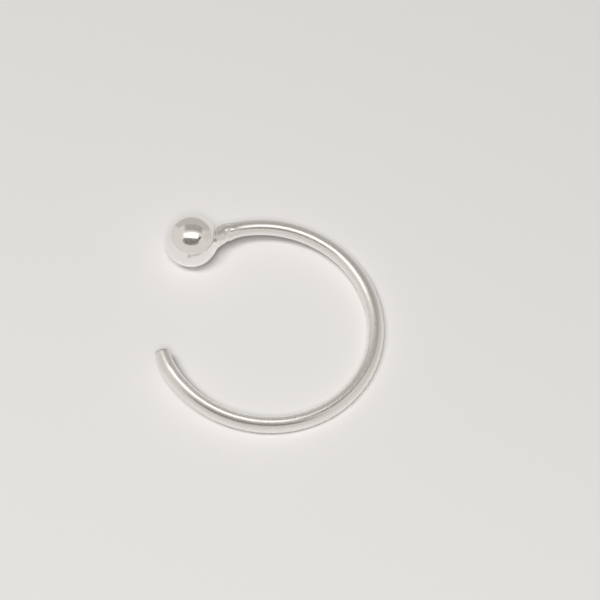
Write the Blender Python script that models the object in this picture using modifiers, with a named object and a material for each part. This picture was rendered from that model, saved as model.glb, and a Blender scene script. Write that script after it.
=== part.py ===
"""An open hoop earring: round silver wire with a solid ball soldered to one end, lying at rest.

Metres, +Z up. The hoop is modelled flat, round its own centre, and then laid down as it rests by
itself: on the ball and on the opposite side of the wire. The origin is the middle of its footprint.
"""
import math

import bmesh
import bpy
from mathutils import Matrix, Vector

# Driving sizes
WIRE_DIAMETER = 0.0012
HOOP_RADIUS = 0.00825            # to the middle of the wire
BALL_DIAMETER = 0.0040
BALL_OFFSET = 0.00060            # how far outside the wire's circle the ball's centre sits
BALL_ANGLE = math.radians(132.7)  # where the ball lies, turned from +X about the hoop's centre
MOUTH_ANGLE = math.radians(69.4)  # from the ball's centre round the mouth to the cut end

# The soldered joint: a fillet that thickens the wire where it meets the ball
SOLDER_RISE = 0.00028            # added to the wire's radius at the fillet's foot
SOLDER_LENGTH = 0.0015           # along the wire, from the foot outwards
SOLDER_SINK = 0.00040            # how far the foot lies under the ball's skin
SOLDER_LEAN = 0.25               # the share by which the fillet is fuller on the hoop's inner side

# The cut end, filed thinner on the hoop's outer side so that it goes through an ear
FILED_DEPTH = 0.00016            # taken off the outer side at the very end
FILED_LENGTH = 0.0016            # along the wire
CUT_SKEW = math.radians(6)       # how far off square the end is cut: its outer side is the longer
RIM_CHAMFER = 0.00004            # round the end's flat face

# How finely the round shapes are divided
WIRE_STEP = 0.00040              # along the wire
WIRE_SIDES = 20
BALL_SEGMENTS = 40
BALL_RINGS = 20
WELD_DISTANCE = 0.000001
RIM_ANGLE = math.radians(50)     # edges sharper than this are the rims of the wire's ends
SMOOTH_ANGLE = math.radians(35)

# Derived sizes
WIRE_RADIUS = WIRE_DIAMETER / 2
BALL_RADIUS = BALL_DIAMETER / 2
BALL_DISTANCE = HOOP_RADIUS + BALL_OFFSET
CUT_ANGLE = BALL_ANGLE + MOUTH_ANGLE - math.tau

# Polished silver
SILVER_COLOUR = (0.93, 0.92, 0.90, 1.0)
SILVER_ROUGHNESS = 0.12
PART_NAME = "ball_hoop"
COLLECTION_NAME = "ball_hoop_earring"


def clear_scene():
    for thing in list(bpy.data.objects):
        bpy.data.objects.remove(thing, do_unlink=True)


def make_silver():
    silver = bpy.data.materials.new("polished_silver")
    silver.use_nodes = True
    shader = silver.node_tree.nodes["Principled BSDF"]
    shader.inputs["Base Color"].default_value = SILVER_COLOUR
    shader.inputs["Metallic"].default_value = 1.0
    shader.inputs["Roughness"].default_value = SILVER_ROUGHNESS
    silver.diffuse_color = SILVER_COLOUR
    silver.metallic = 1.0
    silver.roughness = SILVER_ROUGHNESS
    return silver


def on_circle(radius, angle):
    """A point of the hoop's own plane."""
    return Vector((radius * math.cos(angle), radius * math.sin(angle), 0.0))


def ball_centre():
    return on_circle(BALL_DISTANCE, BALL_ANGLE)


def buried_angle():
    """Where the wire ends inside the ball: half a ball's radius short of its middle."""
    return BALL_ANGLE - BALL_RADIUS / 2 / HOOP_RADIUS


def solder_rise(point):
    """What the solder adds to the wire's radius, from the distance to the ball's skin."""
    above_foot = (point - ball_centre()).length - BALL_RADIUS + SOLDER_SINK
    share = min(max(above_foot / SOLDER_LENGTH, 0.0), 1.0)
    return SOLDER_RISE * (1 - share) ** 2


def filed_depth(angle):
    """What the file took off the outer side, from the distance along the wire to the cut end."""
    share = (angle - CUT_ANGLE) * HOOP_RADIUS / FILED_LENGTH
    return FILED_DEPTH * (1 - min(share, 1.0))


def make_wire(collection):
    """The hoop of wire, from the cut end round to inside the ball, thicker at the solder."""
    turn = buried_angle() - CUT_ANGLE
    steps = math.ceil(turn * HOOP_RADIUS / WIRE_STEP)
    curve = bpy.data.curves.new("hoop_wire", "CURVE")
    curve.dimensions = "3D"
    curve.bevel_depth = WIRE_RADIUS
    curve.bevel_resolution = WIRE_SIDES // 2 - 2
    curve.use_fill_caps = True
    spline = curve.splines.new("POLY")
    spline.points.add(steps)
    for index, point in enumerate(spline.points):
        angle = CUT_ANGLE + turn * index / steps
        thinned = filed_depth(angle) / 2
        risen = solder_rise(on_circle(HOOP_RADIUS, angle))
        point.co = (*on_circle(HOOP_RADIUS - thinned - SOLDER_LEAN * risen, angle), 1.0)
        point.radius = (WIRE_RADIUS - thinned + risen) / WIRE_RADIUS
    drawn = bpy.data.objects.new("hoop_wire", curve)
    collection.objects.link(drawn)
    wire = as_mesh(drawn, "wire", collection)
    skew_cut(wire)
    chamfer = wire.modifiers.new("rim chamfer", "BEVEL")
    chamfer.width = RIM_CHAMFER
    chamfer.segments = 2
    chamfer.limit_method = "ANGLE"
    chamfer.angle_limit = RIM_ANGLE
    return wire


def skew_cut(wire):
    """Turns the flat face of the cut end to the slant that the cutters left."""
    outward = on_circle(1.0, CUT_ANGLE)
    onward = Vector((outward.y, -outward.x, 0.0))
    middle = outward * (HOOP_RADIUS - filed_depth(CUT_ANGLE) / 2)
    for vertex in wire.data.vertices:
        offset = vertex.co - middle
        if offset.length < WIRE_RADIUS:
            slant = offset.dot(outward) * math.tan(CUT_SKEW)
            vertex.co += onward * (slant - offset.dot(onward))


def as_mesh(source, name, collection):
    """Takes an object's shape as it stands, with its modifiers, as a closed mesh, in its place."""
    bpy.context.view_layer.update()
    evaluated = source.evaluated_get(bpy.context.evaluated_depsgraph_get())
    mesh = bpy.data.meshes.new_from_object(evaluated)
    mesh.transform(source.matrix_world)
    shape = bmesh.new()
    shape.from_mesh(mesh)
    bmesh.ops.remove_doubles(shape, verts=shape.verts, dist=WELD_DISTANCE)
    bmesh.ops.recalc_face_normals(shape, faces=shape.faces)
    shape.to_mesh(mesh)
    shape.free()
    made = bpy.data.objects.new(name, mesh)
    collection.objects.link(made)
    bpy.data.objects.remove(source, do_unlink=True)
    return made


def make_ball(collection):
    """The solid ball, its poles pointing along the hoop's axis."""
    bpy.ops.mesh.primitive_uv_sphere_add(
        segments=BALL_SEGMENTS, ring_count=BALL_RINGS, radius=BALL_RADIUS, location=ball_centre())
    ball = bpy.context.object
    ball.name = "ball"
    for owner in list(ball.users_collection):
        owner.objects.unlink(ball)
    collection.objects.link(ball)
    return ball


def solder_together(wire, ball, collection):
    """Soldered metal is one solid: the wire and the ball are united."""
    joint = wire.modifiers.new("soldered to the ball", "BOOLEAN")
    joint.operation = "UNION"
    joint.solver = "EXACT"
    joint.object = ball
    earring = as_mesh(wire, PART_NAME, collection)
    bpy.data.objects.remove(ball, do_unlink=True)
    return earring


def weight_centre():
    """The centre of mass of the ball and the bent wire, in the hoop's plane."""
    turn = BALL_ANGLE - BALL_RADIUS / BALL_DISTANCE - CUT_ANGLE
    wire_volume = math.pi * WIRE_RADIUS ** 2 * HOOP_RADIUS * turn
    ball_volume = 4 / 3 * math.pi * BALL_RADIUS ** 3
    wire_middle = on_circle(HOOP_RADIUS * math.sin(turn / 2) / (turn / 2), CUT_ANGLE + turn / 2)
    return (wire_middle * wire_volume + ball_centre() * ball_volume) / (wire_volume + ball_volume)


def tilt_towards(angle):
    """How far the hoop tips if it rises towards this angle, with the ball and the wire on the floor."""
    reach = HOOP_RADIUS + ball_centre().dot(on_circle(1.0, angle))
    return math.asin((BALL_RADIUS - WIRE_RADIUS) / reach)


def weight_height(angle):
    """How high the centre of mass then lies above the wire's lowest point."""
    arm = HOOP_RADIUS + weight_centre().dot(on_circle(1.0, angle))
    return math.sin(tilt_towards(angle)) * arm


def resting_angle():
    """The angle towards which the hoop rises at rest: there its weight lies lowest."""
    low = BALL_ANGLE - math.pi / 3
    high = BALL_ANGLE + math.pi / 3
    while high - low > 0.0001:
        third = (high - low) / 3
        if weight_height(low + third) < weight_height(high - third):
            high -= third
        else:
            low += third
    return (low + high) / 2


def lay_down(earring):
    """Tips the hoop to its resting pose and puts the origin under the middle of its bounding box."""
    angle = resting_angle()
    hinge = Vector((math.sin(angle), -math.cos(angle), 0.0))
    earring.data.transform(Matrix.Rotation(tilt_towards(angle), 4, hinge))
    corners = [vertex.co for vertex in earring.data.vertices]
    lowest = Vector(min(corner[axis] for corner in corners) for axis in range(3))
    highest = Vector(max(corner[axis] for corner in corners) for axis in range(3))
    middle = (lowest + highest) / 2
    earring.data.transform(Matrix.Translation((-middle.x, -middle.y, -lowest.z)))


def main():
    clear_scene()
    collection = bpy.data.collections.new(COLLECTION_NAME)
    bpy.context.scene.collection.children.link(collection)
    wire = make_wire(collection)
    ball = make_ball(collection)
    earring = solder_together(wire, ball, collection)
    lay_down(earring)
    earring.data.shade_smooth()
    earring.data.set_sharp_from_angle(angle=SMOOTH_ANGLE)
    earring.data.materials.clear()
    earring.data.materials.append(make_silver())


main()
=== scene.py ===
# %% [markdown]
# A hoop earring in Blender: one silver wire, one silver ball
#
# The earring is an open hoop of round silver wire. A solid ball is soldered to one end, and the
# other end is cut flat and filed thin, so that it slips through an ear. It lies on a pale table and
# rests on two points: the underside of the ball and the opposite side of the wire.
#
# Polished silver has almost no colour of its own. What you see in it is the room, so this lesson has
# two halves that matter equally: a surface smooth enough to mirror cleanly, and a small studio that
# is worth mirroring.

import math

import bmesh
import bpy
from mathutils import Matrix, Vector


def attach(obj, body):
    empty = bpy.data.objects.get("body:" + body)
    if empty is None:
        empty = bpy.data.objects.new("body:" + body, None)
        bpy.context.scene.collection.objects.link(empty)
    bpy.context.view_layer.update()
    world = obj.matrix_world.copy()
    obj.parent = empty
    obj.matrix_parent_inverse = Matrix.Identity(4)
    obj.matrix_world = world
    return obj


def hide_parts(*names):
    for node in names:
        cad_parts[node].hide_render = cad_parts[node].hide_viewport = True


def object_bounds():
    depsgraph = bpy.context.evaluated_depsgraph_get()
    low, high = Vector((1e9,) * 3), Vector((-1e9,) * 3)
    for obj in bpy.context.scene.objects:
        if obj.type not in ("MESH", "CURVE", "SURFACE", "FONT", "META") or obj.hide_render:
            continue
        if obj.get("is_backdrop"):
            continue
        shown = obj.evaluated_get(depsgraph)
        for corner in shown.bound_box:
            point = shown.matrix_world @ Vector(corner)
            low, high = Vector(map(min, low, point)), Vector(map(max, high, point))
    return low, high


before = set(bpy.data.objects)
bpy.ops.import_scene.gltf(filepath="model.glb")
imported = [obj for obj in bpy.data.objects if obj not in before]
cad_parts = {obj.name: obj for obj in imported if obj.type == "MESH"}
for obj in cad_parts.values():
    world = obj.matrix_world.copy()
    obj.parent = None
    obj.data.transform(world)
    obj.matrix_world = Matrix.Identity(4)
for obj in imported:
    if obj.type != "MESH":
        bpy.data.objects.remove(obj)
CAD_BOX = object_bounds()
print("frame:", sorted(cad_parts), [round(side * 1000, 2) for side in CAD_BOX[1]])

# %% [markdown]
# The sizes
#
# A jeweller would start from three stock sizes: the wire, the ball and the mandrel that the wire is
# bent round. Everything below is worked out from them. Angles are turned about the hoop's centre, from
# +X, and the hoop is first modelled flat, round that centre, because a circle round the origin can be
# spun and measured easily.

# %% Sizes
WIRE_RADIUS = 0.0006
HOOP_RADIUS = 0.00825
BALL_RADIUS = 0.0020
BALL_OFFSET = 0.0006
BALL_ANGLE = math.radians(132.7)
MOUTH_ANGLE = math.radians(69.4)
CUT_ANGLE = BALL_ANGLE + MOUTH_ANGLE - math.tau
SOLDER_LENGTH = 0.0018
FILED_LENGTH = 0.0016
FILED_DEPTH = 0.00016
CUT_SKEW = math.radians(6)


def on_circle(radius, angle):
    """A point of the hoop's own flat plane."""
    return Vector((radius * math.cos(angle), radius * math.sin(angle), 0.0))


BALL_CENTRE = on_circle(HOOP_RADIUS + BALL_OFFSET, BALL_ANGLE)
print("wire is", round((BALL_ANGLE - CUT_ANGLE) * HOOP_RADIUS * 1000, 1), "mm long")

# %% [markdown]
# Working in edit mode from a script
#
# An operator acts on whatever is selected, so each step begins by selecting nothing, and then picks
# its vertices by where they are. With no window open, a rotation turns the other way round and needs
# to be told its centre. The helpers below hide both habits.

# %% Helpers for modelling by hand
RING_TOLERANCE = 0.0001


def begin_piece(adder, **settings):
    """Adds a primitive on its own, with its place and turn made part of its mesh."""
    bpy.ops.object.select_all(action="DESELECT")
    adder(**settings)
    bpy.ops.object.transform_apply(location=True, rotation=True, scale=True)
    return bpy.context.object


def edit(piece, mode="VERT"):
    """Opens one piece in edit mode, with nothing selected."""
    bpy.ops.object.select_all(action="DESELECT")
    bpy.context.view_layer.objects.active = piece
    piece.select_set(True)
    bpy.ops.object.mode_set(mode="EDIT")
    bpy.ops.mesh.select_mode(type=mode)
    bpy.ops.mesh.select_all(action="DESELECT")


def pick(piece, wanted):
    """Selects the vertices, and the edges and faces between them, for which wanted(place) holds."""
    shape = bmesh.from_edit_mesh(piece.data)
    for vertex in shape.verts:
        vertex.select = wanted(vertex.co)
    shape.select_flush_mode()
    bmesh.update_edit_mesh(piece.data)


def pick_ring(piece, angle):
    """Selects the ring of vertices at one angle about the hoop's axis."""
    pick(piece, lambda place: abs(math.atan2(place.y, place.x) - angle) < RING_TOLERANCE)


def done():
    """Leaves edit mode."""
    bpy.ops.object.mode_set(mode="OBJECT")


def turn_selected(angle, centre):
    """Turns what is selected about an upright axis. The minus sign is for the missing window."""
    bpy.ops.transform.rotate(value=-angle, orient_axis="Z", center_override=centre)


def next_ring(turn, centre_shift, growth, centre):
    """Pulls the selected ring out into a new one: turned about the hoop's axis, shifted and resized."""
    bpy.ops.mesh.extrude_region_move()
    turn_selected(turn, (0.0, 0.0, 0.0))
    bpy.ops.transform.translate(value=centre_shift)
    bpy.ops.transform.resize(value=(growth, growth, growth), center_override=centre)


# %% [markdown]
# The hoop of wire
#
# Real hoop wire is drawn through a round plate and bent on a mandrel, so its section is a true circle
# everywhere. A curve with a round bevel would do, but its ends would be awkward to file and to flare.
# Spinning a circle of points about the hoop's axis gives the same tube with a ring of points at each
# end, ready to be pulled on. The spin stops short of both ends, where the section changes.

# %% Spin the wire
WIRE_SIDES = 64
WIRE_STEP = 0.00014
filed_start = CUT_ANGLE + FILED_LENGTH / HOOP_RADIUS
reach_to_ball = math.asin((BALL_RADIUS + SOLDER_LENGTH) / HOOP_RADIUS)
solder_start = BALL_ANGLE - reach_to_ball

hoop = begin_piece(bpy.ops.mesh.primitive_circle_add, vertices=WIRE_SIDES, radius=WIRE_RADIUS,
                   location=on_circle(HOOP_RADIUS, filed_start),
                   rotation=(math.pi / 2, 0.0, filed_start))
hoop.name = "silver_hoop"
edit(hoop)
bpy.ops.mesh.select_all(action="SELECT")
spin_turn = solder_start - filed_start
spin_steps = math.ceil(spin_turn * HOOP_RADIUS / WIRE_STEP)
bpy.ops.mesh.spin(steps=spin_steps, angle=-spin_turn, center=(0.0, 0.0, 0.0), axis=(0.0, 0.0, 1.0))
done()
print("spun", spin_steps, "steps:", len(hoop.data.polygons), "faces")

# %% [markdown]
# The filed end
#
# The cut end was snipped flat and then filed thinner on its outer side, so that it doesn't scratch.
# Here the end ring is pulled out a little at a time. Each new ring is smaller, and moves inwards by as
# much as it shrinks, so the inner side stays on the circle and only the outer side slopes. Last come a
# rounded rim and the flat face, inset once so that the rim keeps its shape.

# %% File and close the cut end
FILED_RINGS = 12
RIM_RADIUS = 0.00005
RIM_RINGS = 4


def thinned(share):
    """Half of what the file took off, at this share of the filed length."""
    return FILED_DEPTH / 2 * share


edit(hoop)
pick_ring(hoop, filed_start)
turn = (CUT_ANGLE - filed_start) / FILED_RINGS
for ring in range(FILED_RINGS):
    before = thinned(ring / FILED_RINGS)
    after = thinned((ring + 1) / FILED_RINGS)
    angle = filed_start + turn * (ring + 1)
    next_ring(turn, on_circle(before - after, angle), (WIRE_RADIUS - after) / (WIRE_RADIUS - before),
              on_circle(HOOP_RADIUS - after, angle))
end_radius = WIRE_RADIUS - thinned(1.0)
end_centre = on_circle(HOOP_RADIUS - thinned(1.0), CUT_ANGLE)
turn_selected(-CUT_SKEW, end_centre)
face_angle = CUT_ANGLE - CUT_SKEW
end_outward = Vector((math.sin(face_angle), -math.cos(face_angle), 0.0))
for ring in range(RIM_RINGS):
    low = math.pi / 2 * ring / RIM_RINGS
    high = math.pi / 2 * (ring + 1) / RIM_RINGS
    rise = end_outward * RIM_RADIUS * (math.sin(high) - math.sin(low))
    end_centre = end_centre + rise
    old_radius = end_radius - RIM_RADIUS * (1 - math.cos(low))
    new_radius = end_radius - RIM_RADIUS * (1 - math.cos(high))
    next_ring(0.0, rise, new_radius / old_radius, end_centre)
bpy.ops.mesh.edge_face_add()
bpy.ops.mesh.inset(thickness=RIM_RADIUS)
done()
print("filed end is", round((end_radius - RIM_RADIUS) * 2000, 2), "mm across its flat")

# %% [markdown]
# The solder's neck
#
# Solder creeps out of the joint and leaves a hollow-sided collar, a little fuller inside the hoop than
# outside. The wire's other end ring is pulled towards the ball in small steps that grow faster and
# faster, which draws the collar's curve. The last bit, down onto the ball, is left to a bridge, because
# only that knows both shapes.

# %% Flare the wire towards the ball
NECK_RINGS = 18
NECK_FLARE = 0.00012
NECK_SWEEP = 1.5
NECK_LEAN = 0.25
NECK_END = 0.00024
neck_turn = (SOLDER_LENGTH - NECK_END) / HOOP_RADIUS / NECK_RINGS


def risen(share):
    """What the solder adds to the wire's radius, at this share of the neck's length."""
    return NECK_FLARE * share ** NECK_SWEEP


edit(hoop)
pick_ring(hoop, solder_start)
for ring in range(NECK_RINGS):
    before = risen(ring / NECK_RINGS)
    after = risen((ring + 1) / NECK_RINGS)
    angle = solder_start + neck_turn * (ring + 1)
    next_ring(neck_turn, on_circle(NECK_LEAN * (before - after), angle),
              (WIRE_RADIUS + after) / (WIRE_RADIUS + before),
              on_circle(HOOP_RADIUS - NECK_LEAN * after, angle))
done()
print("the neck grows to", round((WIRE_RADIUS + NECK_FLARE) * 2000, 2), "mm before the bridge")

# %% [markdown]
# The ball, and the bridge between them
#
# The ball is a sphere with as many segments as the wire has sides. Its pole points at the wire, so
# taking off the cap round the pole leaves a ring that matches the neck's ring point for point. Joined
# into one mesh, the two rings are bridged, and the bridge leaves each side along that side's own
# surface. That is what makes the fillet flow, with no crease for the reflections to break on.

# %% Add the ball and bridge it to the neck
BALL_RINGS = 48
BALL_OPENING = math.radians(30)
BALL_TURN = math.radians(10)
BRIDGE_CUTS = 9
SMOOTH_ANGLE = math.radians(40)
towards_wire = on_circle(1.0, BALL_TURN)
ball = begin_piece(bpy.ops.mesh.primitive_uv_sphere_add, segments=WIRE_SIDES, ring_count=BALL_RINGS,
                   radius=BALL_RADIUS, location=BALL_CENTRE,
                   rotation=towards_wire.to_track_quat("Z", "Y").to_euler())
edit(ball)
pick(ball, lambda place: (place - BALL_CENTRE).angle(towards_wire) < BALL_OPENING)
bpy.ops.mesh.delete(type="VERT")
done()
ball.select_set(True)
hoop.select_set(True)
bpy.context.view_layer.objects.active = hoop
bpy.ops.object.join()
edit(hoop, "EDGE")
shape = bmesh.from_edit_mesh(hoop.data)
for rim_edge in shape.edges:
    rim_edge.select = rim_edge.is_boundary
bmesh.update_edit_mesh(hoop.data)
bpy.ops.mesh.bridge_edge_loops(number_cuts=BRIDGE_CUTS, interpolation="SURFACE", smoothness=1.0)
bpy.ops.mesh.select_all(action="SELECT")
bpy.ops.mesh.normals_make_consistent(inside=False)
done()
bpy.ops.object.shade_smooth_by_angle(angle=SMOOTH_ANGLE)
shape = bmesh.new()
shape.from_mesh(hoop.data)
print("open edges left:", sum(edge.is_boundary for edge in shape.edges), "faces:", len(shape.faces))
shape.free()

# %% [markdown]
# Marks for the finish
#
# The maker's tools left a different surface on each stretch: drawing lines along the wire, a buffed
# ball, cast-looking solder, and at the cut end file marks. The cut end's rim is coloured darker, which
# is painted shade along its edge. While the hoop still lies flat, each vertex can tell which stretch it
# belongs to. It also gets a second place, `straightened`, as if the wire were unbent: how far along,
# how far out and how high. Lines drawn along that straight wire follow the bend.

# %% Write the marks on the vertices
PAST_THE_CUT = 0.05
# Each pair: where the mark is whole and where it has run out, in metres
BALL_ABOVE_SKIN = (0.00002, 0.00030)
SOLDER_ABOVE_SKIN = (0.0009, 0.0017)
SOLDER_OFF_LINE = (0.0009, 0.0013)
SOLDER_BEHIND_CENTRE = (-0.0010, 0.0)
FILED_FROM_CUT = (0.0012, 0.0018)
RIM_FROM_CUT = (0.00007, 0.00012)


def share_between(value, whole, none):
    """1 at whole, 0 at none, and in proportion between."""
    return max(0.0, min(1.0, (none - value) / (none - whole)))


def above_skin(place):
    """How far a place lies above the ball's skin."""
    return (place - BALL_CENTRE).length - BALL_RADIUS


def length_along(place):
    """How far along the wire a place lies. It is 0 at the cut's middle, and below 0 past it."""
    turned = math.atan2(place.y, place.x) - CUT_ANGLE
    return ((turned + PAST_THE_CUT) % math.tau - PAST_THE_CUT) * HOOP_RADIUS


def straight_place(place):
    """Where the place would be if the wire were unbent: along, out and up."""
    return (length_along(place), math.hypot(place.x, place.y) - HOOP_RADIUS, place.z)


def ball_share(place):
    """The ball's skin."""
    return share_between(above_skin(place), *BALL_ABOVE_SKIN)


def solder_share(place):
    """The collar: near the ball's skin, near the wire's line, and on the wire's side."""
    off_line = math.hypot(math.hypot(place.x, place.y) - HOOP_RADIUS, place.z)
    behind_centre = -(place - BALL_CENTRE).dot(towards_wire)
    return (share_between(above_skin(place), *SOLDER_ABOVE_SKIN)
            * share_between(off_line, *SOLDER_OFF_LINE)
            * share_between(behind_centre, *SOLDER_BEHIND_CENTRE))


def filed_share(place):
    """The filed stretch of the wire."""
    return share_between(length_along(place), *FILED_FROM_CUT)


def rim_share(place):
    """The rim of the cut end, coloured darker as painted shade along its edge."""
    return share_between(length_along(place), *RIM_FROM_CUT)


places = [vertex.co.copy() for vertex in hoop.data.vertices]
straightened = hoop.data.attributes.new("straightened", "FLOAT_VECTOR", "POINT")
straightened.data.foreach_set("vector", [number for place in places for number in straight_place(place)])
for share_of in (ball_share, solder_share, filed_share, rim_share):
    name = share_of.__name__
    shares = [share_of(place) for place in places]
    hoop.data.attributes.new(name, "FLOAT", "POINT").data.foreach_set("value", shares)
    print(name, "marks", sum(share > 0 for share in shares), "of", len(shares), "vertices")

# %% [markdown]
# Lumpy solder
#
# Solder freezes where it stops flowing, so the collar isn't turned smooth: it has small lumps that catch
# the light as separate sparks. A displace modifier pushes the skin along its normals by a cloud
# pattern, and a vertex group keeps it to the solder. It is a few hundredths of a millimetre, real
# shape rather than a painted bump, because the lumps show in the outline too.

# %% Displace the solder
LUMP_SIZE = 0.00038
LUMP_HEIGHT = 0.00020
solder_group = hoop.vertex_groups.new(name="solder")
for index, place in enumerate(places):
    weight = solder_share(place)
    if weight > 0:
        solder_group.add([index], weight, "REPLACE")
clouds = bpy.data.textures.new("solder_lumps", "CLOUDS")
clouds.noise_scale = LUMP_SIZE
clouds.noise_depth = 1
lumps = hoop.modifiers.new("solder lumps", "DISPLACE")
lumps.texture = clouds
lumps.texture_coords = "LOCAL"
lumps.vertex_group = solder_group.name
lumps.strength = LUMP_HEIGHT
lumps.mid_level = 0.5
bpy.ops.object.select_all(action="DESELECT")
bpy.context.view_layer.objects.active = hoop
hoop.select_set(True)
bpy.ops.object.modifier_apply(modifier=lumps.name)
moved = [(vertex.co - place).length for vertex, place in zip(hoop.data.vertices, places)]
print("the solder's skin moved by up to", round(max(moved) * 1000, 3), "mm")

# %% [markdown]
# Lay the hoop down
#
# Put down on a table, the hoop tips until the ball and the far side of the wire both touch. Of all the
# ways to lie on those two points it takes the one that brings its weight lowest, a little beyond the
# ball. The flat model is turned about a level axis by that tilt, and then moved so that it stands on
# the floor in the middle of the frame's box. The turn goes into the mesh, not onto the object.

# %% Tilt and place
RISE_ANGLE = math.radians(143.62)
tilt = math.asin((BALL_RADIUS - WIRE_RADIUS)
                 / (HOOP_RADIUS + BALL_CENTRE.length * math.cos(RISE_ANGLE - BALL_ANGLE)))
level_axis = Vector((math.sin(RISE_ANGLE), -math.cos(RISE_ANGLE), 0.0))
lay_down = Matrix.Rotation(tilt, 4, level_axis)
hoop.data.transform(lay_down)
corners = [vertex.co for vertex in hoop.data.vertices]
lowest = Vector(min(corner[axis] for corner in corners) for axis in range(3))
highest = Vector(max(corner[axis] for corner in corners) for axis in range(3))
frame_middle = (CAD_BOX[0] + CAD_BOX[1]) / 2
slide = frame_middle - (lowest + highest) / 2
slide.z = CAD_BOX[0].z - lowest.z
hoop.data.transform(Matrix.Translation(slide))
print("tilt", round(math.degrees(tilt), 2), "degrees")
print("moved by", [round(part * 1000, 3) for part in slide], "mm")

# %% [markdown]
# Patterns for worn silver
#
# Polished silver has almost no colour of its own, so its finish is all in how cleanly it mirrors: the
# roughness, and a relief of a thousandth of a millimetre. Four patterns are enough. Each is a node group
# that knows nothing of silver. It takes a place and a size, and gives a value from 0 to 1, so that the
# same group can draw wire lines, file marks or scratches.

# %% Helpers for nodes
def put(tree, kind, feeds, **settings):
    """Adds a node. A feed is either a value for a socket or another node's output to link to it."""
    node = tree.nodes.new(kind)
    for name, value in settings.items():
        setattr(node, name, value)
    for socket, feed in feeds.items():
        if isinstance(feed, bpy.types.NodeSocket):
            tree.links.new(feed, node.inputs[socket])
        else:
            node.inputs[socket].default_value = feed
    return node


def calculate(tree, operation, first, second=0.0, third=0.0, clamp=False):
    feeds = {0: first, 1: second, 2: third}
    return put(tree, "ShaderNodeMath", feeds, operation=operation, use_clamp=clamp).outputs[0]


def remap(tree, value, low, high, low_becomes=0.0, high_becomes=1.0):
    feeds = {"Value": value, "From Min": low, "From Max": high,
             "To Min": low_becomes, "To Max": high_becomes}
    return put(tree, "ShaderNodeMapRange", feeds).outputs[0]


def scaled(tree, place, factor):
    """The place times one factor."""
    return put(tree, "ShaderNodeVectorMath", {0: place, "Scale": factor}, operation="SCALE").outputs[0]


def stretched(tree, place, factors):
    """The place times a factor of its own along each axis."""
    return put(tree, "ShaderNodeVectorMath", {0: place, 1: factors}, operation="MULTIPLY").outputs[0]


def pattern_group(name, sizes, result):
    """A new node group with a place and some sizes as its inputs, and one value as its output."""
    tree = bpy.data.node_groups.new(name, "ShaderNodeTree")
    tree.interface.new_socket("Place", in_out="INPUT", socket_type="NodeSocketVector")
    for size_name, default in sizes.items():
        entry = tree.interface.new_socket(size_name, in_out="INPUT", socket_type="NodeSocketFloat")
        entry.default_value = default
    tree.interface.new_socket(result, in_out="OUTPUT", socket_type="NodeSocketFloat")
    return tree, tree.nodes.new("NodeGroupInput").outputs, tree.nodes.new("NodeGroupOutput").inputs


# %% [markdown]
# Tool lines
#
# A drawplate and a file both leave lines: the same streak, many times longer than it is wide. Noise
# does that if the place is divided by the line's spacing, and by far more along the line than across.

# %% The pattern of tool lines
lines_tree, inputs, outputs = pattern_group("tool lines", {"Spacing": 0.00006, "Length": 60.0}, "Height")
across = calculate(lines_tree, "DIVIDE", 1.0, inputs["Spacing"])
along = calculate(lines_tree, "DIVIDE", across, inputs["Length"])
stretch = put(lines_tree, "ShaderNodeCombineXYZ", {"X": along, "Y": across, "Z": across}).outputs[0]
place = stretched(lines_tree, inputs["Place"], stretch)
feeds = {"Vector": place, "Scale": 1.0, "Detail": 2.0, "Roughness": 0.6}
streaks = put(lines_tree, "ShaderNodeTexNoise", feeds).outputs[0]
lines_tree.links.new(remap(lines_tree, streaks, 0.25, 0.75), outputs["Height"])

# %% [markdown]
# Soft unevenness
#
# The buffing wheel leaves a surface that isn't quite round, and fingers leave a film that isn't even.
# Both are plain clouds, the first used as a relief and the second as a change in roughness.

# %% The pattern of soft clouds
clouds_tree, inputs, outputs = pattern_group("soft clouds", {"Size": 0.0004, "Detail": 1.0}, "Value")
place = scaled(clouds_tree, inputs["Place"], calculate(clouds_tree, "DIVIDE", 1.0, inputs["Size"]))
feeds = {"Vector": place, "Scale": 1.0, "Detail": inputs["Detail"]}
cloud = put(clouds_tree, "ShaderNodeTexNoise", feeds).outputs[0]
clouds_tree.links.new(remap(clouds_tree, cloud, 0.3, 0.7), outputs["Value"])

# %% [markdown]
# Hair scratches
#
# Where stretched noise crosses its middle value it draws long thin contours, just like the hairlines
# that polished silver gets in a drawer. A second, broad noise breaks them up, so that they come in
# patches and end somewhere.

# %% The pattern of hair scratches
SCRATCH_AXIS = (0.3, 0.2, 1.0)
SCRATCH_STRETCH = (0.10, 1.0, 1.0)
SCRATCH_WIDTH = 0.010
PATCH_EDGE = (0.46, 0.60)
scratch_tree, inputs, outputs = pattern_group("hair scratches", {"Size": 0.0005, "Angle": 0.6}, "Mask")
feeds = {"Vector": inputs["Place"], "Angle": inputs["Angle"], "Axis": SCRATCH_AXIS}
turned = put(scratch_tree, "ShaderNodeVectorRotate", feeds).outputs[0]
place = scaled(scratch_tree, turned, calculate(scratch_tree, "DIVIDE", 1.0, inputs["Size"]))
feeds = {"Vector": stretched(scratch_tree, place, SCRATCH_STRETCH), "Scale": 1.0, "Detail": 3.0}
contours = put(scratch_tree, "ShaderNodeTexNoise", feeds).outputs[0]
from_middle = calculate(scratch_tree, "ABSOLUTE", calculate(scratch_tree, "SUBTRACT", contours, 0.5))
hairline = remap(scratch_tree, from_middle, 0.0, SCRATCH_WIDTH, 1.0, 0.0)
feeds = {"Vector": place, "Scale": 0.6, "Detail": 1.0}
patches = put(scratch_tree, "ShaderNodeTexNoise", feeds).outputs[0]
mask = calculate(scratch_tree, "MULTIPLY", hairline, remap(scratch_tree, patches, *PATCH_EDGE))
scratch_tree.links.new(mask, outputs["Mask"])

# %% [markdown]
# Pinholes
#
# Flux boils out of solder as it cools and leaves pinholes. A cell pattern gives each hole its own spot,
# and only the middle of each cell is sunk.

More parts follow.
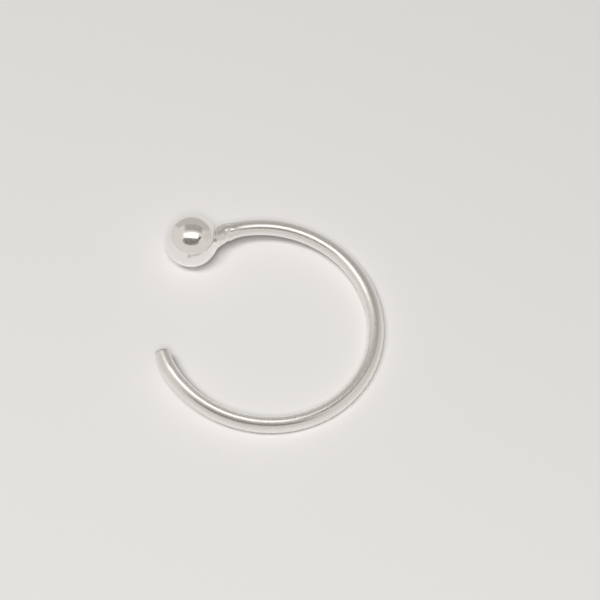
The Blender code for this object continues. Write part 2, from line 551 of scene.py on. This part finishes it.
# %% The pattern of pinholes
pits_tree, inputs, outputs = pattern_group("pinholes", {"Spacing": 0.00016, "Width": 0.35}, "Mask")
place = scaled(pits_tree, inputs["Place"], calculate(pits_tree, "DIVIDE", 1.0, inputs["Spacing"]))
cells = put(pits_tree, "ShaderNodeTexVoronoi", {"Vector": place, "Scale": 1.0}).outputs["Distance"]
pits_tree.links.new(remap(pits_tree, cells, 0.0, inputs["Width"], 1.0, 0.0), outputs["Mask"])
print("patterns:", [tree.name for tree in bpy.data.node_groups])

# %% [markdown]
# The silver
#
# One material dresses the whole hoop, and the marks choose between its finishes. The ball is buffed
# nearly to a mirror. The wire is duller, with its drawing lines. The solder is bright but grained and
# pitted, and the end shows the file and a rim coloured darker, which is painted shade along its edge.
# The table below has one row for each of these: how high it stands, how much rougher it is, and how
# much grime it holds; for the rim that grime is painted shade. The metal itself is set on the shader's
# own sockets, and only what varies is linked.

# %% Polished silver
SILVER = (0.965, 0.957, 0.942, 1.0)
OXIDE_AND_SHADE = (0.70, 0.68, 0.65, 1.0)
ROUGHNESS = 0.11
RELIEF_UNIT = 0.000001
FILE_ANGLE = 1.1


def mark(tree, name):
    """One of the marks on the vertices, as a value."""
    return put(tree, "ShaderNodeAttribute", {}, attribute_name=name).outputs["Fac"]


def pattern(tree, group, **feeds):
    """One of the pattern groups, with its own place and sizes."""
    return put(tree, "ShaderNodeGroup", feeds, node_tree=group).outputs[0]


def weighted(tree, terms):
    """The sum of value times weight."""
    total = 0.0
    for value, weight in terms:
        total = calculate(tree, "MULTIPLY_ADD", value, weight, total)
    return total


def new_silver(name):
    """A silver material with its fixed sockets set, and nothing linked yet."""
    silver = bpy.data.materials.new(name)
    silver.use_nodes = True
    shader = silver.node_tree.nodes["Principled BSDF"]
    shader.inputs["Metallic"].default_value = 1.0
    return silver, silver.node_tree, shader


def finish_silver(tree, shader, grime_and_shade, roughness, height, depth):
    """Links colour, roughness and relief to the shader."""
    # Of the mix node's many sockets, 6 and 7 are the two colours, and output 2 is theirs
    colour = put(tree, "ShaderNodeMix", {0: grime_and_shade, 6: SILVER, 7: OXIDE_AND_SHADE}, data_type="RGBA").outputs[2]
    tree.links.new(colour, shader.inputs["Base Color"])
    tree.links.new(roughness, shader.inputs["Roughness"])
    relief = put(tree, "ShaderNodeBump", {"Height": height, "Strength": 1.0, "Distance": depth})
    tree.links.new(relief.outputs["Normal"], shader.inputs["Normal"])


silver, tree, shader = new_silver("polished_silver")
here = put(tree, "ShaderNodeTexCoord", {}).outputs["Object"]
straight = put(tree, "ShaderNodeAttribute", {}, attribute_name="straightened").outputs["Vector"]
on_ball = mark(tree, "ball_share")
on_solder = mark(tree, "solder_share")
on_filed = mark(tree, "filed_share")
on_rim = mark(tree, "rim_share")
on_wire = calculate(tree, "SUBTRACT", calculate(tree, "SUBTRACT", 1.0, on_ball), on_solder, clamp=True)
drawn = pattern(tree, lines_tree, Place=straight, Spacing=0.00011, Length=45.0)
drawn_fine = pattern(tree, lines_tree, Place=straight, Spacing=0.000035, Length=120.0)
feeds = {"Vector": straight, "Angle": FILE_ANGLE}
slanted = put(tree, "ShaderNodeVectorRotate", feeds, rotation_type="Z_AXIS").outputs[0]
filed = pattern(tree, lines_tree, Place=slanted, Spacing=0.00004, Length=25.0)
waves = pattern(tree, clouds_tree, Place=here, Size=0.0007, Detail=0.0)
film = pattern(tree, clouds_tree, Place=here, Size=0.0012, Detail=4.0)
lumps_seen = pattern(tree, clouds_tree, Place=here, Size=0.00012, Detail=2.0)
hairs = pattern(tree, scratch_tree, Place=here, Size=0.0006, Angle=0.6)
more_hairs = pattern(tree, scratch_tree, Place=here, Size=0.0004, Angle=2.1)
pits = pattern(tree, pits_tree, Place=here, Spacing=0.00016, Width=0.35)
lines_on_wire = calculate(tree, "MULTIPLY", drawn, on_wire)
fine_on_wire = calculate(tree, "MULTIPLY", drawn_fine, on_wire)
file_marks = calculate(tree, "MULTIPLY", filed, on_filed)
pits_in_solder = calculate(tree, "MULTIPLY", pits, on_solder)
grains_in_solder = calculate(tree, "MULTIPLY", lumps_seen, on_solder)
# Each row: the mark, its height in thousandths of a millimetre, its roughness and its grime, which for
# the rim is painted shade
FINISHES = (
    (lines_on_wire, 3.6, 0.0, 0.24),
    (fine_on_wire, 1.1, 0.05, 0.12),
    (on_wire, 0.0, 0.09, 0.0),
    (waves, 3.0, 0.0, 0.0),
    (file_marks, 3.2, 0.05, 0.28),
    # The rim's grime is painted shade: a darker line along the cut end's edge
    (on_rim, 0.0, 0.0, 0.8),
    (on_solder, 0.0, 0.0, 0.05),
    (grains_in_solder, 6.0, 0.0, 0.0),
    (pits_in_solder, -6.0, 0.20, 0.9),
    (film, 0.0, 0.05, 0.10),
    (hairs, -0.35, 0.10, 0.0),
    (more_hairs, -0.25, 0.08, 0.0),
)
height = weighted(tree, [(value, rise) for value, rise, _, _ in FINISHES if rise])
roughened = [(value, rough) for value, _, rough, _ in FINISHES if rough]
roughness = weighted(tree, [(1.0, ROUGHNESS)] + roughened)
grime_and_shade = weighted(tree, [(value, grime) for value, _, _, grime in FINISHES if grime])
finish_silver(tree, shader, grime_and_shade, roughness, height, RELIEF_UNIT)
hoop.data.materials.append(silver)
print("silver is made of", len(tree.nodes), "nodes")

# %% [markdown]
# The sawn face
#
# The flat face of the cut end was never polished: the saw's lines cross it, and it is the dullest spot
# on the earring. It gets a material of its own, built from the same patterns, and it is found by its
# normal and its size.

# %% Sawn silver on the cut end
SAWN_ROUGHNESS = 0.30
SAWN_GRIME = 0.40
SAW_MARK_DEPTH = 0.0000020
SAME_WAY = 0.999                 # the cosine of the angle between two normals that agree
SMALLEST_FACE = 1e-8             # square metres: smaller ones belong to the rounded rim
sawn, tree, shader = new_silver("sawn_silver")
here = put(tree, "ShaderNodeTexCoord", {}).outputs["Object"]
saw_lines = pattern(tree, lines_tree, Place=here, Spacing=0.00005, Length=30.0)
film = pattern(tree, clouds_tree, Place=here, Size=0.0003, Detail=3.0)
grime_and_shade = weighted(tree, [(1.0, SAWN_GRIME), (film, 0.50)])
roughness = weighted(tree, [(1.0, SAWN_ROUGHNESS), (saw_lines, 0.15)])
finish_silver(tree, shader, grime_and_shade, roughness, saw_lines, SAW_MARK_DEPTH)
hoop.data.materials.append(sawn)
face_normal = (lay_down.to_3x3() @ end_outward).normalized()
for polygon in hoop.data.polygons:
    if polygon.normal.dot(face_normal) > SAME_WAY and polygon.area > SMALLEST_FACE:
        polygon.material_index = 1
print("sawn faces:", sum(polygon.material_index == 1 for polygon in hoop.data.polygons))

# %% [markdown]
# The table
#
# The earring lies on a plain pale table. It has no gloss at all, so it only takes the soft shadows. It
# counts twice: it is the ground of the picture, and it is also the pale lower half of all that the
# silver mirrors, most of all round the ball's edge.

# %% Floor
FLOOR_SIZE = 4.0
PALE_TABLE = (0.72, 0.70, 0.68, 1.0)
bpy.ops.object.select_all(action="DESELECT")
bpy.ops.mesh.primitive_plane_add(size=FLOOR_SIZE, location=(0.0, 0.0, 0.0))
floor = bpy.context.object
floor.name = "floor"
paper = bpy.data.materials.new("pale_table")
paper.use_nodes = True
paper_shader = paper.node_tree.nodes["Principled BSDF"]
paper_shader.inputs["Base Color"].default_value = PALE_TABLE
paper_shader.inputs["Roughness"].default_value = 1.0
paper_shader.inputs["Specular IOR Level"].default_value = 0.0
floor.data.materials.append(paper)
print("table:", FLOOR_SIZE, "m wide")

# %% [markdown]
# Places in the studio
#
# Polished silver is judged by its reflections, so the studio is laid out by direction, as seen from the
# earring. The climb says how high a thing stands, from the near horizon over the top to the far one, and
# the side says how far off that arc it stands. A thing close over the hoop is placed by its distances
# instead, because the near and far sides of the hoop see it in different directions.

# %% Helpers for the studio
FAR_DISTANCE = 0.30
PANEL_DISTANCE = 0.60
NEAR_HEIGHT = 0.028


def studio_place(climb, side, distance=FAR_DISTANCE):
    """Away from the earring in one direction and facing it, with its width level."""
    climb = math.radians(climb)
    side = math.radians(side)
    up_the_arc = Vector((0.0, -math.cos(climb), math.sin(climb)))
    outward = up_the_arc * math.cos(side) + Vector((math.sin(side), 0.0, 0.0))
    level = (Vector((1.0, 0.0, 0.0)) - outward * outward.x).normalized()
    facing = Matrix((level, outward.cross(level), outward)).transposed().to_4x4()
    return Matrix.Translation(outward * distance) @ facing


def over_hoop(across, along, turn):
    """Level, close over the hoop."""
    return Matrix.Translation((across, along, NEAR_HEIGHT)) @ Matrix.Rotation(math.radians(turn), 4, "Z")


def span(half_angle):
    """The size of a far card that covers this angle to each side of its middle."""
    return 2 * FAR_DISTANCE * math.tan(math.radians(half_angle))


# %% [markdown]
# Light for the table
#
# Two soft panels light the table. The long one stands nearly overhead, a little to the left. It is wide
# from left to right and narrow the other way, so the shadow of the wire is crisp where the wire runs
# across and melts away where it runs towards you. The other panel stands by the camera, where its
# shadows hide behind the earring, and so it only makes the visible ones paler.

# %% Panels
def add_panel(name, place, width, height, radiance):
    """A soft light that lights the table. The silver doesn't show it."""
    light = bpy.data.lights.new(name, "AREA")
    light.shape = "RECTANGLE"
    light.size = width
    light.size_y = height
    light.energy = radiance * width * height * math.pi
    panel = bpy.data.objects.new(name, light)
    panel.matrix_world = place
    panel.visible_glossy = False
    bpy.context.scene.collection.objects.link(panel)
    print(name, "gives", round(light.energy, 2), "W")


add_panel("overhead_panel", studio_place(74, -11, PANEL_DISTANCE), 0.32, 0.12, 21.0)
add_panel("camera_side_panel", studio_place(59, -2, PANEL_DISTANCE), 0.17, 0.17, 18.5)

# %% [markdown]
# Cards for the silver
#
# The silver shows a room of its own: cards that glow with one tone each and light nothing. The bright
# window draws the long highlight on the wire and the small one on the ball. The dark shade round the
# camera gives both their black, and without that black, silver looks like grey plastic. The dark corner
# beside the window adds the small black accent at the highlight's end. The walls and the strip give the
# middle greys. Each card's edge is soft, because a hard edge would show in the ball.

# %% Cards
def soft_edge(tree, flat_place, softness, round_card):
    """1 inside a card and 0 at its edge, from its UV map."""
    feeds = {0: flat_place, 1: (2, 2, 0), 2: (-1, -1, 0)}
    centred = put(tree, "ShaderNodeVectorMath", feeds, operation="MULTIPLY_ADD").outputs[0]
    if round_card:
        outwards = put(tree, "ShaderNodeVectorMath", {0: centred}, operation="LENGTH").outputs["Value"]
    else:
        sides = put(tree, "ShaderNodeVectorMath", {0: centred}, operation="ABSOLUTE").outputs[0]
        apart = put(tree, "ShaderNodeSeparateXYZ", {0: sides}).outputs
        outwards = calculate(tree, "MAXIMUM", apart[0], apart[1])
    return remap(tree, outwards, 1.0 - softness, 1.0, 1.0, 0.0)


def card_paint(name, tone, softness, round_card, speckle, fade):
    """A glow of one tone. It can be speckled, and can fade towards the card's left edge."""
    paint = bpy.data.materials.new(name)
    paint.use_nodes = True
    tree = paint.node_tree
    tree.nodes.clear()
    flat_place = put(tree, "ShaderNodeTexCoord", {}).outputs["UV"]
    spots = pattern(tree, clouds_tree, Place=flat_place, Size=0.11, Detail=2.0)
    from_left = put(tree, "ShaderNodeSeparateXYZ", {0: flat_place}).outputs[0]
    strength = weighted(tree, [(1.0, 1.0 - speckle / 2 - fade), (spots, speckle), (from_left, fade)])
    glow = put(tree, "ShaderNodeEmission", {"Color": (*tone, 1.0), "Strength": strength}).outputs[0]
    clear = put(tree, "ShaderNodeBsdfTransparent", {}).outputs[0]
    edge = soft_edge(tree, flat_place, softness, round_card)
    mixed = put(tree, "ShaderNodeMixShader", {0: edge, 1: clear, 2: glow}).outputs[0]
    put(tree, "ShaderNodeOutputMaterial", {"Surface": mixed})
    return paint


def add_card(name, place, width, height, tone, softness=0.2, round_card=False, speckle=0.0, fade=0.0):
    """A soft-edged card that only the silver shows: it lights and shades nothing."""
    bpy.ops.object.select_all(action="DESELECT")
    if round_card:
        bpy.ops.mesh.primitive_circle_add(radius=0.5, fill_type="NGON")
    else:
        bpy.ops.mesh.primitive_plane_add(size=1.0)
    card = bpy.context.object
    card.name = name
    card.data.transform(place @ Matrix.Diagonal((width, height, 1.0, 1.0)))
    card.data.materials.append(card_paint(name, tone, softness, round_card, speckle, fade))
    card.visible_camera = False
    card.visible_diffuse = False
    card.visible_shadow = False
    card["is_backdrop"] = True


add_card("bright_window", over_hoop(-0.0080, 0.0026, 0), 0.0350, 0.0118, (2.1, 2.05, 2.0),
         softness=0.3, fade=0.5)
add_card("dark_corner", over_hoop(0.0132, -0.0016, -38), 0.0076, 0.0140, (0.04, 0.038, 0.035),
         round_card=True)
add_card("camera_shade", studio_place(59, -1), span(38), span(21), (0.22, 0.21, 0.19),
         round_card=True, speckle=1.3)
add_card("far_wall", studio_place(158, 3), span(55), span(24), (0.50, 0.475, 0.445))
add_card("far_strip", studio_place(121, 7), span(39), span(19), (0.37, 0.355, 0.335),
         softness=0.35, speckle=0.4)
add_card("right_wall", studio_place(120, 65), span(16), span(25), (0.60, 0.57, 0.53), softness=0.5)
cards = [thing.name for thing in bpy.data.objects if thing.type == "MESH" and not thing.visible_camera]
print("cards:", sorted(cards))

# %% [markdown]
# The room behind the cards
#
# Wherever there is no card, the silver shows the plain room: a warm light grey. The room is kept off the
# table's own light, which the panels already give.

# %% Room
ROOM = (0.68, 0.65, 0.61, 1.0)
world = bpy.data.worlds.new("studio")
bpy.context.scene.world = world
world.use_nodes = True
world.node_tree.nodes["Background"].inputs["Color"].default_value = ROOM
world.cycles_visibility.diffuse = False
print("room:", [round(part, 2) for part in ROOM[:3]])

# %% [markdown]
# The camera
#
# A long lens, sixteen centimetres away, keeps the hoop's circle even: a short one would swell the near
# side. It looks down steeply, and it is rolled by a few degrees, just as the picture was taken. The
# colours are shown as they are, with no film curve, so the pale table stays pale.

# %% Camera
CAMERA_AZIMUTH = math.radians(-2.066)
CAMERA_ELEVATION = math.radians(59.303)
CAMERA_ROLL = math.radians(4.75)
CAMERA_DISTANCE = 0.160
FOCAL_LENGTH = 126.57            # millimetres, on a sensor 36 mm wide
CAMERA_AIM = Vector((0.002091, 0.002963, 0.0))
backwards = Vector((math.sin(CAMERA_AZIMUTH) * math.cos(CAMERA_ELEVATION),
                    -math.cos(CAMERA_AZIMUTH) * math.cos(CAMERA_ELEVATION),
                    math.sin(CAMERA_ELEVATION)))
roll = Matrix.Rotation(CAMERA_ROLL, 4, "Z").to_quaternion()
lens = bpy.data.cameras.new("camera")
lens.lens = FOCAL_LENGTH
lens.sensor_width = 36.0
lens.clip_start = 0.001
lens.clip_end = 10.0
camera = bpy.data.objects.new("camera", lens)
camera.location = CAMERA_AIM + backwards * CAMERA_DISTANCE
camera.rotation_mode = "QUATERNION"
camera.rotation_quaternion = backwards.to_track_quat("Z", "Y") @ roll
bpy.context.scene.collection.objects.link(camera)
bpy.context.scene.camera = camera
bpy.context.scene.view_settings.view_transform = "Standard"
print("camera:", [round(part * 1000, 1) for part in camera.location], "mm")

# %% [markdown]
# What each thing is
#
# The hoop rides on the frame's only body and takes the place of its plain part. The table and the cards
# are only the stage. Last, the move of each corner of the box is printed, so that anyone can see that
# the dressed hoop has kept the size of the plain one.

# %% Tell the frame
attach(hoop, "root")
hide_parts("ball_hoop")
floor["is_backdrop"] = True
visual_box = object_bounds()
for corner, dressed in zip(CAD_BOX, visual_box):
    print("corner moved by", [round(part * 1000, 3) for part in dressed - corner], "mm")
